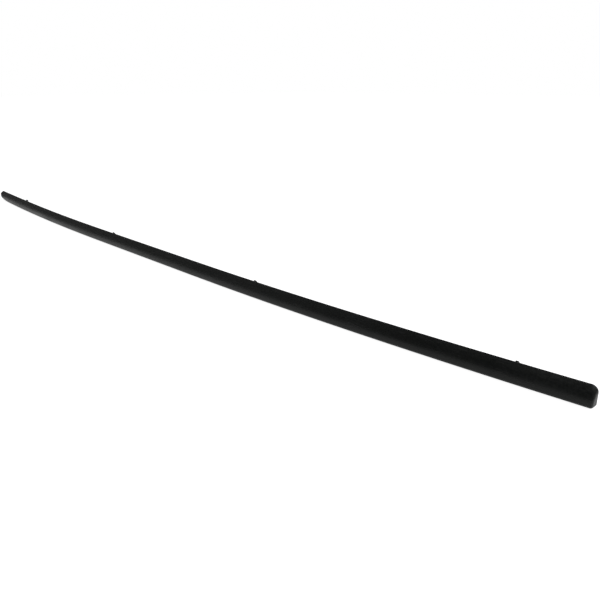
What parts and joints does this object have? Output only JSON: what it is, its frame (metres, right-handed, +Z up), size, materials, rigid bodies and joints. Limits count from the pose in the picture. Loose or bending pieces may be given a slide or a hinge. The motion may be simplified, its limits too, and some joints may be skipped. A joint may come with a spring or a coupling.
{
  "type": "car body side moulding",
  "caption": "Long slim black moulding strip, crowned face, hollow ribbed back, gently bowed, with snap-in fixing lugs along the back.",
  "frame": {"origin": "on the flat lower edge the strip stands on, at the middle of its length and of the flat's depth", "axes": "+X along the strip to its round-cornered end, -Y out of the crowned face, +Y out of the back with the lugs, +Z up"},
  "size_m": [1.294, 0.0415, 0.018],
  "materials": {
    "black_plastic": "satin, moulded"
  },
  "bodies": {
    "root": {"side_moulding": "black_plastic"}
  },
  "joints": []
}
